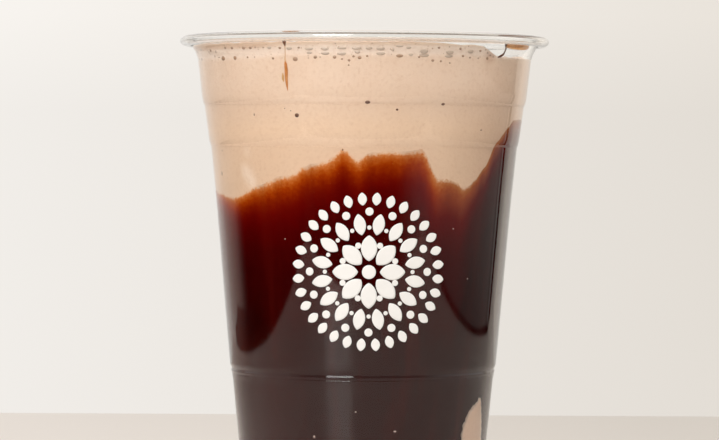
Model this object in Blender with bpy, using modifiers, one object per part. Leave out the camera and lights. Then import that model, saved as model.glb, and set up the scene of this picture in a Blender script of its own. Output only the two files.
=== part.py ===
"""A chocolate milkshake in its clear plastic cup.

The cup is one thin sheet, turned about Z: a raised base with a standing ring,
a tapered wall with three ring steps, a shoulder, and a rolled rim.
Chocolate sauce lines the wall and the base, up to a ragged edge.
The milkshake fills the rest, meets the wall above the sauce, and shows through
one gap in it, low on the right. Its froth climbs the wall to the rim, except
at a dip on the right.

Metres, +Z up, origin at the middle of the standing ring, front towards -Y.
Azimuths run from the front (-Y) towards the right (+X).
"""

import math

import bpy
import numpy as np

MM = 0.001

# Cup, in millimetres: the rim roll is an ellipse seen in section
SHEET = 0.5
RIM_TOP = 138.0
RIM_RADIUS = 49.0
ROLL_HALF_WIDTH = 1.9
ROLL_HALF_HEIGHT = 1.45
ROLL_END_ANGLE = -120.0
ROLL_STEPS_OUTSIDE = 10
ROLL_STEPS_INSIDE = 5

# Outer face of the wall, radius and height, from under the roll to the heel
OUTER_WALL = [
    (45.70, 135.15),
    (45.10, 133.50),
    (44.25, 132.10),   # edge of the shoulder
    (44.15, 130.50),
    (43.55, 124.60),
    (43.30, 124.30),
    (43.15, 122.40),   # top of the band over the first ring step
    (42.66, 120.20),
    (42.40, 120.00),
    (41.45, 111.90),   # top of the band over the second ring step
    (41.03, 109.60),
    (40.76, 109.40),
    (39.20, 94.60),
    (35.40, 50.00),    # third ring step
    (34.85, 48.90),
    (34.50, 47.60),
    (34.60, 46.70),
    (33.00, 30.90),
]
# Inner face: heights where it follows the outer one, a sheet's thickness in
INNER_WALL_HEIGHTS = [30.90, 46.70, 47.60, 50.00, 94.60, 109.40, 120.00, 124.30, 132.10, 133.50]

HEEL_CENTRE = (27.3, 3.0)
HEEL_RADIUS = 3.0
HEEL_STEPS = 3
RING_INNER_RADIUS = 25.9
BASE_EDGE_RADIUS = 24.6
BASE_RISE = 2.7

SEGMENTS = 60

# Contents
GAP = 0.35
LEVEL = 133.0
COLLAR_RISE = 1.65
DIP_FALL = 0.8
DIP_START = (44.0, 50.0)
DIP_END = (118.0, 126.0)
COLLAR_WIDTH = 3.5
SWIRL_DEPTH = 0.2

SAUCE_EDGE_THICKNESS = 0.4
SAUCE_THICKNESS = 1.8
SAUCE_FEATHER = 14.0
POOL_TOP = 6.5

# Ragged upper edge of the sauce: azimuth in degrees, height
SAUCE_EDGE = [
    (-85, 97.2), (-62, 95.3), (-50, 96.0), (-34, 100.4), (-14, 104.2), (-8, 107.8),
    (-1.5, 104.5), (7, 106.8), (20, 107.2), (25.5, 102.7), (29, 100.0), (41, 97.5),
    (48, 101.6), (59, 109.4), (65, 114.8), (80, 115.4), (95, 112.0), (110, 105.0),
    (124, 101.0), (138, 104.5), (146, 109.0), (153, 104.0), (168, 99.0), (180, 97.5),
    (196, 101.0), (208, 106.5), (216, 103.0), (230, 98.5), (246, 96.0),
]

# Gap in the sauce that the milkshake shows through: a leaf standing on its stem
LEAF_AZIMUTH = 64.0
LEAF_BOTTOM = 12.0
LEAF_TOP = 43.0
LEAF_LEFT = 15.0
LEAF_RIGHT = 10.0
LEAF_ROWS = 8
LEAF_COLUMNS = 5


def clear_scene():
    for item in list(bpy.data.objects):
        bpy.data.objects.remove(item, do_unlink=True)


def new_collection(name):
    collection = bpy.data.collections.new(name)
    bpy.context.scene.collection.children.link(collection)
    return collection


def principled(name, colour, roughness, transmission=0.0):
    material = bpy.data.materials.new(name)
    material.use_nodes = True
    shader = material.node_tree.nodes["Principled BSDF"]
    shader.inputs["Base Color"].default_value = (*colour, 1.0)
    shader.inputs["Roughness"].default_value = roughness
    shader.inputs["Metallic"].default_value = 0.0
    shader.inputs["Transmission Weight"].default_value = transmission
    return material


def add_object(name, mesh, material, collection):
    item = bpy.data.objects.new(name, mesh)
    item.data.materials.append(material)
    collection.objects.link(item)
    return item


def arc(centre, half_width, half_height, start, end, steps):
    """Points of an ellipse's arc, from one angle in degrees to another."""
    angles = np.radians(np.linspace(start, end, steps + 1))
    return [(centre[0] + half_width * math.cos(a), centre[1] + half_height * math.sin(a))
            for a in angles]


def outer_radius(height):
    """Outer radius of the wall at a height: the profile, straight between its points."""
    radii, heights = zip(*reversed(OUTER_WALL))
    heel_side = (HEEL_CENTRE[0] + HEEL_RADIUS, HEEL_CENTRE[1])
    return np.interp(height, (heel_side[1],) + heights, (heel_side[0],) + radii)


def cup_profile():
    """Section of the sheet: up its inner face, over the roll, and down its outer face."""
    roll_centre = (RIM_RADIUS - ROLL_HALF_WIDTH, RIM_TOP - ROLL_HALF_HEIGHT)
    base_height = BASE_RISE + SHEET
    inside = [(0.0, base_height), (BASE_EDGE_RADIUS - SHEET, base_height),
              (RING_INNER_RADIUS, SHEET)]
    inside += arc(HEEL_CENTRE, HEEL_RADIUS - SHEET, HEEL_RADIUS - SHEET, -90, 0, HEEL_STEPS)
    inside += [(float(outer_radius(z)) - SHEET, z) for z in INNER_WALL_HEIGHTS]
    roll = arc(roll_centre, ROLL_HALF_WIDTH, ROLL_HALF_HEIGHT, 180, ROLL_END_ANGLE,
               ROLL_STEPS_OUTSIDE)
    hollow = arc(roll_centre, ROLL_HALF_WIDTH - SHEET, ROLL_HALF_HEIGHT - SHEET,
                 ROLL_END_ANGLE, 180, ROLL_STEPS_INSIDE)
    outside = OUTER_WALL + arc(HEEL_CENTRE, HEEL_RADIUS, HEEL_RADIUS, 0, -90, HEEL_STEPS)
    underside = [(RING_INNER_RADIUS, 0.0), (BASE_EDGE_RADIUS, BASE_RISE), (0.0, BASE_RISE)]
    return inside + roll + hollow + outside + underside


def make_cup(collection):
    points = [(r * MM, 0.0, z * MM) for r, z in cup_profile()]
    edges = [(i, i + 1) for i in range(len(points) - 1)]
    mesh = bpy.data.meshes.new("cup")
    mesh.from_pydata(points, edges, [])
    plastic = principled("clear plastic", (0.93, 0.94, 0.93), 0.05, transmission=0.95)
    cup = add_object("cup", mesh, plastic, collection)
    screw = cup.modifiers.new("turn", "SCREW")
    screw.axis = "Z"
    screw.angle = math.tau
    screw.steps = SEGMENTS
    screw.render_steps = SEGMENTS
    screw.use_merge_vertices = True
    screw.merge_threshold = 0.00001
    screw.use_smooth_shade = True
    return cup


def smooth(value):
    """Ease from 0 to 1 as the value goes from 0 to 1."""
    value = np.clip(value, 0.0, 1.0)
    return value * value * (3.0 - 2.0 * value)


def contact_radius(height):
    """Outer radius of the contents: a gap inside the wall's narrowest line nearby."""
    heights = [HEEL_CENTRE[1], 30.9, 46.7, 47.5, 50.3, 94.6, 109.4, 120.0, 132.0]
    radii = [float(outer_radius(z)) for z in heights]
    radii[3] = radii[2] = min(radii[2], radii[3])
    radii[7] = OUTER_WALL[8][0]
    inset = SHEET + GAP
    low = np.interp(height, heights, radii)
    return np.where(np.asarray(height) > heights[-1], outer_radius(height), low) - inset


def sauce_edge(azimuth):
    """Height of the sauce's edge: eased from each point of its outline to the next."""
    points = SAUCE_EDGE + [(SAUCE_EDGE[0][0] + 360, SAUCE_EDGE[0][1])]
    turned = (np.asarray(azimuth) - points[0][0]) % 360 + points[0][0]
    height = np.zeros_like(turned, dtype=float)
    for (start, low), (end, high) in zip(points, points[1:]):
        inside = (turned >= start) & (turned < end)
        eased = low + (high - low) * smooth((turned - start) / (end - start))
        height = np.where(inside, eased, height)
    return height


def sauce_depth(below_edge):
    """Thickness of the sauce at a distance below its edge."""
    full = SAUCE_THICKNESS - SAUCE_EDGE_THICKNESS
    return SAUCE_EDGE_THICKNESS + full * smooth(below_edge / SAUCE_FEATHER)


def froth_height(azimuth, from_wall):
    """Top of the froth: level, with a collar up the wall that drops away at the dip."""
    dip = smooth((azimuth - DIP_START[0]) / (DIP_START[1] - DIP_START[0]))
    dip = dip * (1.0 - smooth((azimuth - DIP_END[0]) / (DIP_END[1] - DIP_END[0])))
    climb = COLLAR_RISE * (1.0 - dip) - DIP_FALL * dip
    reach = COLLAR_WIDTH * (1.0 + 2.0 * dip)
    swirl = SWIRL_DEPTH * np.sin(np.radians(2.0 * azimuth) + from_wall / 6.0)
    return LEVEL + climb * np.exp(-(from_wall / reach) ** 2) + swirl * smooth(from_wall / 8.0)


def ring(azimuth, radius, height):
    """One ring of points, in metres; radius and height are numbers or follow the azimuth."""
    turn = np.radians(azimuth)
    radius = np.broadcast_to(radius, turn.shape)
    height = np.broadcast_to(height, turn.shape)
    return np.column_stack([radius * np.sin(turn), -radius * np.cos(turn), height]) * MM


def closed_mesh(name, rings, top=None, bottom=None):
    """Skin a list of rings, from the upper or inner one on, and close each end.

    An end with a height is closed by a point on the axis; without, the skin
    joins the last ring to the first.
    """
    count = len(rings[0])
    points = [tuple(p) for row in rings for p in row]
    faces = []
    pairs = list(range(len(rings) - 1))
    for row in pairs:
        for k in range(count):
            nxt = (k + 1) % count
            here, below = row * count, (row + 1) * count
            faces.append((here + k, below + k, below + nxt, here + nxt))
    if top is not None:
        points.append((0.0, 0.0, top * MM))
        apex = len(points) - 1
        faces += [(apex, k, (k + 1) % count) for k in range(count)]
    if bottom is not None:
        points.append((0.0, 0.0, bottom * MM))
        apex = len(points) - 1
        last = (len(rings) - 1) * count
        faces += [(apex, last + (k + 1) % count, last + k) for k in range(count)]
    mesh = bpy.data.meshes.new(name)
    mesh.from_pydata(points, [], faces)
    mesh.validate()
    mesh.shade_smooth()
    return mesh


def columns():
    """Azimuths of the wall's facet edges, so that contents and wall stay parallel."""
    return np.arange(SEGMENTS) * 360.0 / SEGMENTS


def side_heights(edge):
    """Heights of the rings that sauce and milkshake share, from the edge down."""
    fixed = [72.0, 50.3, 47.4, 30.0, 11.0]
    return [edge - 4.0, edge - 10.0] + [np.full_like(edge, z) for z in fixed]


def leaf_prism(name, margin, reach_in, outside):
    """A leaf outline on the wall, as a block from a radius inside it to one outside.

    Half widths follow a sine from stem to tip; the rows are flat in height.
    """
    low, high = LEAF_BOTTOM - margin, LEAF_TOP + margin
    heights = np.linspace(low, high, LEAF_ROWS + 2)[1:-1]
    heights = np.concatenate([[low + 0.3], heights, [high - 0.3]])
    bulge = np.sin(np.pi * (heights - low) / (high - low)) ** 0.8
    across = np.linspace(-1.0, 1.0, LEAF_COLUMNS)
    points = []
    for height, width in zip(heights, bulge):
        wall = float(contact_radius(height))
        margin_angle = math.degrees(margin / wall)
        span = np.where(across < 0, LEAF_LEFT, LEAF_RIGHT) * width + margin_angle
        azimuth = LEAF_AZIMUTH + across * span
        step = 360.0 / SEGMENTS
        within = np.radians(azimuth % step - step / 2.0)
        facet = math.cos(math.radians(step / 2.0)) / np.cos(within)
        for radius in (outside(wall) * facet, np.full(LEAF_COLUMNS, wall - reach_in)):
            points += [tuple(p) for p in ring(azimuth, radius, height)]
    rows, cols = len(heights), LEAF_COLUMNS
    faces = []
    for j in range(rows - 1):
        lower, upper = j * 2 * cols, (j + 1) * 2 * cols
        for i in range(cols - 1):
            faces.append((lower + i, lower + i + 1, upper + i + 1, upper + i))
            faces.append((lower + cols + i + 1, lower + cols + i, upper + cols + i,
                          upper + cols + i + 1))
        faces.append((lower + cols, lower, upper, upper + cols))
        faces.append((lower + cols - 1, lower + 2 * cols - 1, upper + 2 * cols - 1,
                      upper + cols - 1))
    last = (rows - 1) * 2 * cols
    for i in range(cols - 1):
        faces.append((i + 1, i, cols + i, cols + i + 1))
        faces.append((last + i, last + i + 1, last + cols + i + 1, last + cols + i))
    mesh = bpy.data.meshes.new(name)
    mesh.from_pydata(points, [], faces)
    mesh.validate()
    return mesh


def hide_as_cutter(item):
    item.hide_render = True
    item.display_type = "WIRE"


def add_boolean(item, name, operation, other):
    boolean = item.modifiers.new(name, "BOOLEAN")
    boolean.operation = operation
    boolean.solver = "EXACT"
    boolean.object = other


def make_sauce(collection, cutters):
    azimuth = columns()
    edge = sauce_edge(azimuth)
    outer = [(contact_radius(edge), edge)]
    outer += [(contact_radius(z), z) for z in side_heights(edge)[:-1]]
    heel = arc(HEEL_CENTRE, HEEL_RADIUS - SHEET - GAP, HEEL_RADIUS - SHEET - GAP, 0, -90, 2)
    floor = BASE_RISE + SHEET + GAP
    outer += heel + [(RING_INNER_RADIUS + 2 * GAP, 1.0), (BASE_EDGE_RADIUS + GAP, floor)]
    inner = [(contact_radius(edge) - SAUCE_EDGE_THICKNESS, edge)]
    inner += [(contact_radius(z) - sauce_depth(edge - z), z) for z in side_heights(edge)]
    inner += [(26.3, 7.4), (22.0, POOL_TOP)]
    rings = [ring(azimuth, r, z) for r, z in reversed(inner)]
    rings += [ring(azimuth, r, z) for r, z in outer]
    mesh = closed_mesh("sauce", rings, top=POOL_TOP, bottom=floor)
    chocolate = principled("chocolate sauce", (0.045, 0.006, 0.004), 0.25)
    sauce = add_object("sauce", mesh, chocolate, collection)
    window = leaf_prism("sauce gap", GAP, 8.0, lambda wall: wall + 4.0)
    cutter = add_object("sauce gap", window, chocolate, cutters)
    hide_as_cutter(cutter)
    add_boolean(sauce, "gap", "DIFFERENCE", cutter)
    return sauce


def make_milkshake(collection, cutters):
    azimuth = columns()
    edge = sauce_edge(azimuth)
    top = froth_height(azimuth, 0.0)
    rim = contact_radius(top)
    froth = [froth_height(azimuth, s) for s in (1.5, 4.0, 8.0, 15.0, 27.0)]
    rings = [(rim - s, z) for s, z in zip((1.5, 4.0, 8.0, 15.0, 27.0), froth)][::-1]
    rings.append((rim, top))
    for z in (np.minimum(133.4, top - 0.35), np.minimum(131.9, top - 0.9), np.full_like(top, 124.0)):
        rings.append((contact_radius(z), z))
    ledge = edge + GAP
    rings.append((contact_radius(ledge), ledge))
    rings.append((contact_radius(ledge) - SAUCE_EDGE_THICKNESS - GAP, ledge))
    for z in side_heights(edge):
        rings.append((contact_radius(z) - sauce_depth(edge - z) - GAP, z))
    rings += [(26.3 - 0.8 * GAP, 7.4 + 1.2 * GAP), (22.0 - 0.5 * GAP, POOL_TOP + GAP)]
    points = [ring(azimuth, r, z) for r, z in rings]
    mesh = closed_mesh("milkshake", points, top=LEVEL, bottom=POOL_TOP + GAP)
    shake = principled("milkshake", (0.80, 0.60, 0.43), 0.45)
    milkshake = add_object("milkshake", mesh, shake, collection)
    plug_mesh = leaf_prism("gap filling", 0.0, 5.0, lambda wall: wall)
    plug = add_object("gap filling", plug_mesh, shake, cutters)
    hide_as_cutter(plug)
    add_boolean(milkshake, "gap filling", "UNION", plug)
    return milkshake


def main():
    clear_scene()
    parts = new_collection("chocolate milkshake")
    cutters = new_collection("cutters")
    make_cup(parts)
    make_sauce(parts, cutters)
    make_milkshake(parts, cutters)


main()
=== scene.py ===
import math

import bpy
import numpy as np
from mathutils import Matrix, Vector


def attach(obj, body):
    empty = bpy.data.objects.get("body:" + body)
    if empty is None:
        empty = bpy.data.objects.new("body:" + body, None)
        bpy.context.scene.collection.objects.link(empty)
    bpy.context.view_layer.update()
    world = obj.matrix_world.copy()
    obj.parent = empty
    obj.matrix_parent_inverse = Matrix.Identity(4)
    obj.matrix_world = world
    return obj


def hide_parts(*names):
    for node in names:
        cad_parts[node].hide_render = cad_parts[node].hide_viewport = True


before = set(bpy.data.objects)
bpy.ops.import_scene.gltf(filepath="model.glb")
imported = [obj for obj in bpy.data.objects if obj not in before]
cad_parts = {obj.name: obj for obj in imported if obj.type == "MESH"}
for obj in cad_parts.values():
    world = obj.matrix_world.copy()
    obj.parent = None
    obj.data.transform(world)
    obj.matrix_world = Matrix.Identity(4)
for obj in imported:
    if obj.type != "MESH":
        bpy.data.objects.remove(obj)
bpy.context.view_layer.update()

mm = 0.001
hub = 0.5   # radius of the smallest ring round the axis, which a point closes


# curves and surfaces


def ease(t):
    # 3t^2 - 2t^3 between 0 and 1
    t = np.clip(t, 0.0, 1.0)
    return t * t * (3 - 2 * t)


def arc(centre, halfWidth, halfHeight, start, end, steps):
    # points of an ellipse, centre + (a cos t, b sin t), from one angle in degrees to another
    t = np.radians(np.linspace(start, end, steps + 1))
    return np.column_stack([centre[0] + halfWidth * np.cos(t), centre[1] + halfHeight * np.sin(t)])


def roundCorners(points, reach, steps=4):
    # each corner becomes a parabola between the points `reach` away from it, at most 0.48 of a span
    p = np.asarray(points, float)
    rounded = [p[:1]]
    t = np.linspace(0, 1, steps + 1)[:, None]
    reaches = np.broadcast_to(reach, len(p))[1:-1]
    for before, corner, after, far in zip(p[:-2], p[1:-1], p[2:], reaches):
        back, on = before - corner, after - corner
        a = corner + back * min(far / np.linalg.norm(back), 0.48)
        b = corner + on * min(far / np.linalg.norm(on), 0.48)
        rounded.append((1 - t) ** 2 * a + 2 * t * (1 - t) * corner + t ** 2 * b)
    rounded.append(p[-1:])
    return np.vstack(rounded)


def evenSteps(points, longest):
    # cuts every span longer than `longest` into equal shorter ones
    spans = np.linalg.norm(np.diff(points, axis=0), axis=1)
    cuts = np.maximum(1, np.ceil(spans / longest).astype(int))
    pieces = [np.linspace(a, b, n, endpoint=False) for a, b, n in zip(points[:-1], points[1:], cuts)]
    return np.vstack(pieces + [points[-1:]])


def onCup(azimuth, radius, height):
    # azimuth 0 is the front, -Y, and turns towards +X; millimetres in, metres out
    turn, radius, height = np.broadcast_arrays(np.radians(azimuth), radius, height)
    return np.stack([radius * np.sin(turn), -radius * np.cos(turn), height], axis=-1) * mm


def wallAxes(azimuth):
    # unit vectors along the wall, out of it and up
    turn = np.radians(azimuth)
    along = np.stack([np.cos(turn), np.sin(turn), 0 * turn], axis=-1)
    out = np.stack([np.sin(turn), -np.cos(turn), 0 * turn], axis=-1)
    return along, out, np.broadcast_to([0.0, 0.0, 1.0], along.shape)


def roundCup(count):
    # azimuths in equal steps round the cup
    return np.arange(count) * 360.0 / count


def circle(count):
    # angles in equal steps round a circle, in radians
    return np.linspace(0, 2 * np.pi, count, endpoint=False)


def signed(azimuth):
    # the same azimuth between -180 and 180
    return (azimuth + 180) % 360 - 180


def between(azimuth, start, rise, end, fall):
    # 1 from one azimuth to another, eased in over `rise` degrees and out over `fall` degrees
    return ease((azimuth - start) / rise) * (1 - ease((azimuth - end) / fall))


def spread(start, end, rows):
    # heights in equal steps from one line round the cup to another, a row for each
    return start + (end - start) * np.linspace(0, 1, rows)[:, None]


def buildMesh(name, points, faces, material, attributes=None):
    # faces is a list of quad and triangle arrays; attributes are floats on the points
    mesh = bpy.data.meshes.new(name)
    sizes = np.concatenate([np.full(len(f), f.shape[1], np.int32) for f in faces])
    corners = np.concatenate([f.ravel() for f in faces]).astype(np.int32)
    mesh.vertices.add(len(points))
    mesh.vertices.foreach_set("co", np.ascontiguousarray(points, np.float32).ravel())
    mesh.loops.add(len(corners))
    mesh.loops.foreach_set("vertex_index", corners)
    mesh.polygons.add(len(sizes))
    mesh.polygons.foreach_set("loop_start", np.concatenate([[0], np.cumsum(sizes)[:-1]]).astype(np.int32))
    mesh.polygons.foreach_set("loop_total", sizes)
    mesh.polygons.foreach_set("use_smooth", np.ones(len(sizes), bool))
    for key, values in (attributes or {}).items():
        layer = mesh.attributes.new(key, "FLOAT", "POINT")
        layer.data.foreach_set("value", np.ascontiguousarray(values, np.float32).ravel())
    mesh.update(calc_edges=True)
    mesh.validate()
    mesh.materials.append(material)
    piece = bpy.data.objects.new(name, mesh)
    bpy.context.scene.collection.objects.link(piece)
    return piece


def ringFaces(rows, columns):
    # quads between neighbouring rings of a grid that closes round, numbered row by row
    k = np.arange(columns)
    here = np.arange(rows - 1)[:, None] * columns
    a, b = here + k, here + (k + 1) % columns
    return np.stack([a, a + columns, b + columns, b], axis=-1).reshape(-1, 4)


def capFaces(tip, start, columns, turned):
    # triangles from one ring to one point
    k = np.arange(columns)
    near, far = start + k, start + (k + 1) % columns
    return np.stack([np.full(columns, tip)] + ([far, near] if turned else [near, far]), axis=-1)


def closedGrids(name, grids, tips, material, attributes=None):
    # grids[piece, row, column] are stacks of rings, each closed at both ends by the two points of tips[piece]
    count, rows, columns = grids.shape[:3]
    size = rows * columns + 2
    points = np.concatenate([grids.reshape(count, -1, 3), tips], axis=1).reshape(-1, 3)
    quads = ringFaces(rows, columns)
    fans = np.vstack([capFaces(size - 2, 0, columns, False),
                      capFaces(size - 1, (rows - 1) * columns, columns, True)])
    shift = (np.arange(count) * size)[:, None, None]
    faces = [(quads + shift).reshape(-1, 4), (fans + shift).reshape(-1, 3)]
    values = {}
    for key, (onRings, onTips) in (attributes or {}).items():
        values[key] = np.concatenate([onRings.reshape(count, -1), onTips.reshape(count, 2)], axis=1).ravel()
    return buildMesh(name, points, faces, material, values)


def roundBody(name, rings, top, bottom, material, attributes=None):
    # one stack of rings round the axis, closed by a point on the axis at each end
    grid = np.asarray(rings)[None]
    tips = np.array([[[0, 0, top * mm], [0, 0, bottom * mm]]])
    extra = {key: (np.asarray(v)[None], np.array([[np.mean(v[0]), np.mean(v[-1])]]))
             for key, v in (attributes or {}).items()}
    return closedGrids(name, grid, tips, material, extra)


def settle(piece, slot, *nodes):
    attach(piece, "root")
    if nodes:
        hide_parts(*nodes)


# materials


def srgb(red, green, blue):
    # colour picked on screen, 0 to 255, as linear light
    channels = [c / 255 for c in (red, green, blue)]
    return tuple(c / 12.92 if c <= 0.04045 else ((c + 0.055) / 1.055) ** 2.4 for c in channels) + (1.0,)


class Wire:
    # one socket of a material; + - * and / on it add Math nodes

    def __init__(self, recipe, socket):
        self.recipe, self.socket = recipe, socket

    def __add__(self, other):
        return self.recipe.math("ADD", self, other)

    def __sub__(self, other):
        return self.recipe.math("SUBTRACT", self, other)

    def __rsub__(self, other):
        return self.recipe.math("SUBTRACT", other, self)

    def __mul__(self, other):
        return self.recipe.math("MULTIPLY", self, other)

    def __truediv__(self, other):
        return self.recipe.math("DIVIDE", self, other)

    def __rtruediv__(self, other):
        return self.recipe.math("DIVIDE", other, self)

    __radd__, __rmul__ = __add__, __mul__

    def clamped(self):
        # kept between 0 and 1
        return self.recipe.node("ShaderNodeClamp", {}, {"Value": self})

    def fade(self, start, end):
        # 0 at `start`, 1 at `end` and straight between them
        return ((self - start) / (end - start)).clamped()

class Recipe:
    # a material, or the world, and the nodes in it

    def __init__(self, name, world=False):
        self.owner = bpy.data.worlds.new(name) if world else bpy.data.materials.new(name)
        self.owner.use_nodes = True
        self.tree = self.owner.node_tree
        self.tree.nodes.clear()
        self.where = self.node("ShaderNodeTexCoord", output=0 if world else 3)

    def node(self, kind, settings=None, inputs=None, output=0):
        made = self.tree.nodes.new(kind)
        for key, value in (settings or {}).items():
            if key == "stops":
                self.setStops(made.color_ramp, value)
            else:
                setattr(made, key, value)
        for key, value in (inputs or {}).items():
            if isinstance(value, Wire):
                self.tree.links.new(value.socket, made.inputs[key])
            else:
                made.inputs[key].default_value = value
        return Wire(self, made.outputs[output]) if made.outputs else None

    def setStops(self, ramp, stops):
        while len(ramp.elements) < len(stops):
            ramp.elements.new(1.0)
        for element, (position, colour) in zip(ramp.elements, stops):
            element.position, element.color = position, colour

    def math(self, operation, *values):
        return self.node("ShaderNodeMath", {"operation": operation}, dict(enumerate(values)))

    def mix(self, share, first, second, blend="MIX"):
        return self.node("ShaderNodeMix", {"data_type": "RGBA", "blend_type": blend},
                         {0: share, 6: first, 7: second}, output=2)

    def attribute(self, name):
        return self.node("ShaderNodeAttribute", {"attribute_name": name}, output=2)

    def axis(self, which):
        return self.node("ShaderNodeSeparateXYZ", {}, {0: self.where}, output=which)

    def ramp(self, value, stops):
        # colour stops given on the value's own scale, from the first one to the last
        low, high = stops[0][0], stops[-1][0]
        return self.node("ShaderNodeValToRGB", {"stops": [((p - low) / (high - low), c) for p, c in stops]},
                         {"Fac": value.fade(low, high)})

    def noise(self, scale, detail=2.0, roughness=0.5, stretch=(1, 1, 1)):
        stretched = self.node("ShaderNodeMapping", {}, {"Vector": self.where, "Scale": stretch})
        return self.node("ShaderNodeTexNoise", {},
                         {"Vector": stretched, "Scale": scale, "Detail": detail, "Roughness": roughness})

    def uneven(self, amount, scale, detail, roughness, stretch=(1, 1, 1)):
        # noise about 0, times an amount
        return (self.noise(scale, detail, roughness, stretch) - 0.5) * amount

    def cells(self, scale):
        return self.node("ShaderNodeTexVoronoi", {}, {"Vector": self.where, "Scale": scale})

    def bump(self, height, strength, distance):
        return self.node("ShaderNodeBump", {}, {"Height": height, "Strength": strength, "Distance": distance})

    def principled(self, **inputs):
        named = {key.replace("_", " "): value for key, value in inputs.items()}
        return self.node("ShaderNodeBsdfPrincipled", {}, named)

    def finish(self, shader, output="ShaderNodeOutputMaterial"):
        self.node(output, {}, {"Surface": shader})
        return self.owner


def plain(name, colour, roughness):
    recipe = Recipe(name)
    return recipe.finish(recipe.principled(Base_Color=colour, Roughness=roughness))


# camera, light and stage

view = {                        # millimetres
    "distance": 900.0,          # from the cup's axis
    "height": 106.0,            # the lens is lower than the rim
    "aimHeight": 89.3,
    "sideways": -1.1,
    "lens": 169.2, "sensorWidth": 36.0,
    "rollDegrees": 0.3,
}

studio = {                      # metres
    "wallDistance": 0.49,
    "wallHeight": 1.6,
    "wallBend": -0.42,          # left of this only reflections see the wall
    "wallBendTop": 0.2,
    "wallBottom": [(-0.42, -0.035), (-0.47, -0.035), (-0.50, -0.0165), (-0.54, -0.0185), (-0.77, -0.054),
                   (-1.10, -0.11), (-1.50, -0.17)],
    "wallTones": [              # place along X, tone and warmth
        (-1.5, 0.0, 2.0), (-1.2, 0.05, 2.0), (-1.0, 0.17, 2.0), (-0.86, 0.35, 2.0), (-0.72, 0.46, 2.0),
        (-0.59, 0.56, 2.0), (-0.43, 0.72, 2.0), (-0.36, 0.90, 1.5), (-0.15, 0.88, 1.0), (0.15, 0.77, 1.7),
        (0.30, 1.0, 2.0), (0.40, 1.2, 2.6), (0.46, 1.0, 2.6), (0.52, 0.82, 2.6), (0.61, 0.66, 2.6)],
    "wallFade": [(0.125, 1.0), (0.165, 1.065)],     # height and share of the tone
    "counter": [(-0.352, -0.362), (0.380, -0.362), (0.383, -0.16), (0.396, 0.0), (0.404, 0.16),
                (0.407, 0.36), (0.62, 0.36), (0.62, 0.49), (-0.361, 0.49), (-0.361, 0.06), (-0.352, -0.06)],
    # painted shade: the counter darker towards both ends
    "counterTones": [(-0.26, srgb(202, 190, 182)), (-0.15, srgb(226, 217, 209)), (0.12, srgb(209, 202, 194))],
    "counterRoughness": 0.34,
    "floorHalf": 4.0, "floorDrop": 0.0005,
    # dim sheet beyond the counter
    "corner": [(-0.361, 0.06), (-0.361, 0.355), (-0.48, 0.355), (-0.46, 0.06)],
    "cornerTones": [(0.06, 0.0, 1.0), (0.15, 0.02, 1.0), (0.20, 0.055, 1.0), (0.27, 0.10, 1.0),
                    (0.355, 0.16, 1.0)],
    "cardPlace": 0.412,         # grey card on the right
    "cardTurn": 0.07,           # how much further out it is for each metre back
    "cardOutline": [(-0.79, -0.14), (-0.349, -0.14), (-0.236, 0.0), (0.322, 0.0), (0.322, 0.08),
                    (-0.79, 0.08)],
    "cardTones": [(-0.79, 0.0, 1.0), (-0.66, 0.09, 1.0), (-0.545, 0.28, 1.0), (-0.43, 0.60, 1.0),
                  (-0.36, 0.62, 1.0), (-0.30, 0.46, 1.0), (-0.15, 0.42, 1.8), (0.262, 0.42, 1.8),
                  (0.270, 0.24, 1.8), (0.290, 0.24, 1.8), (0.296, 0.63, 1.8), (0.322, 0.63, 1.8)],
    "cardFade": [(0.0, 0.55), (0.05, 1.0)],
    "edgeStrip": 0.040,         # dark strip on the card's back end
    "roomTones": [(-1.0, 0.34, 1.0), (-0.55, 0.34, 1.0), (-0.25, 0.85, 1.0), (0.35, 1.0, 1.0),
                  (1.0, 1.0, 1.0)],
    "horizon": (-0.06, -0.03),  # reflections see no room below the first and all of it above the second
    "warmLoss": (0.035, 0.08),  # what green and blue lose for each unit of warmth
    "lampAim": 0.09,
    "keyAzimuth": -21.0, "keyElevation": 26.0, "keyDistance": 1.3,
    "keySize": (0.50, 0.95), "keyPower": 8.3, "keyColour": (1.0, 0.98, 0.955),
    # a weak lamp on the right, which reflections do not show
    "fillAzimuth": 100.0, "fillElevation": 22.0, "fillDistance": 1.0,
    "fillSize": (0.6, 0.6), "fillPower": 1.8, "fillColour": (1.0, 0.92, 0.85),
    "ambient": 0.93, "ambientColour": srgb(252, 249, 245),
}


def makeCamera():
    camera = bpy.data.objects.new("camera", bpy.data.cameras.new("camera"))
    bpy.context.scene.collection.objects.link(camera)
    bpy.context.scene.camera = camera
    camera.data.sensor_width = view["sensorWidth"]
    camera.data.lens = view["lens"]
    place = Vector((view["sideways"], -view["distance"], view["height"])) * mm
    aim = Vector((view["sideways"], 0.0, view["aimHeight"])) * mm
    turn = (aim - place).to_track_quat("-Z", "Y").to_matrix()
    turn = turn @ Matrix.Rotation(math.radians(view["rollDegrees"]), 3, "Z")
    camera.matrix_world = Matrix.Translation(place) @ turn.to_4x4()


def warmStops(tones):
    # places and tones of a grey that is a little warm, so green and blue are weaker than red
    green, blue = studio["warmLoss"]
    return [(place, (v, v * (1 - green * warmth), v * (1 - blue * warmth), 1.0))
            for place, v, warmth in tones]


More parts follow.
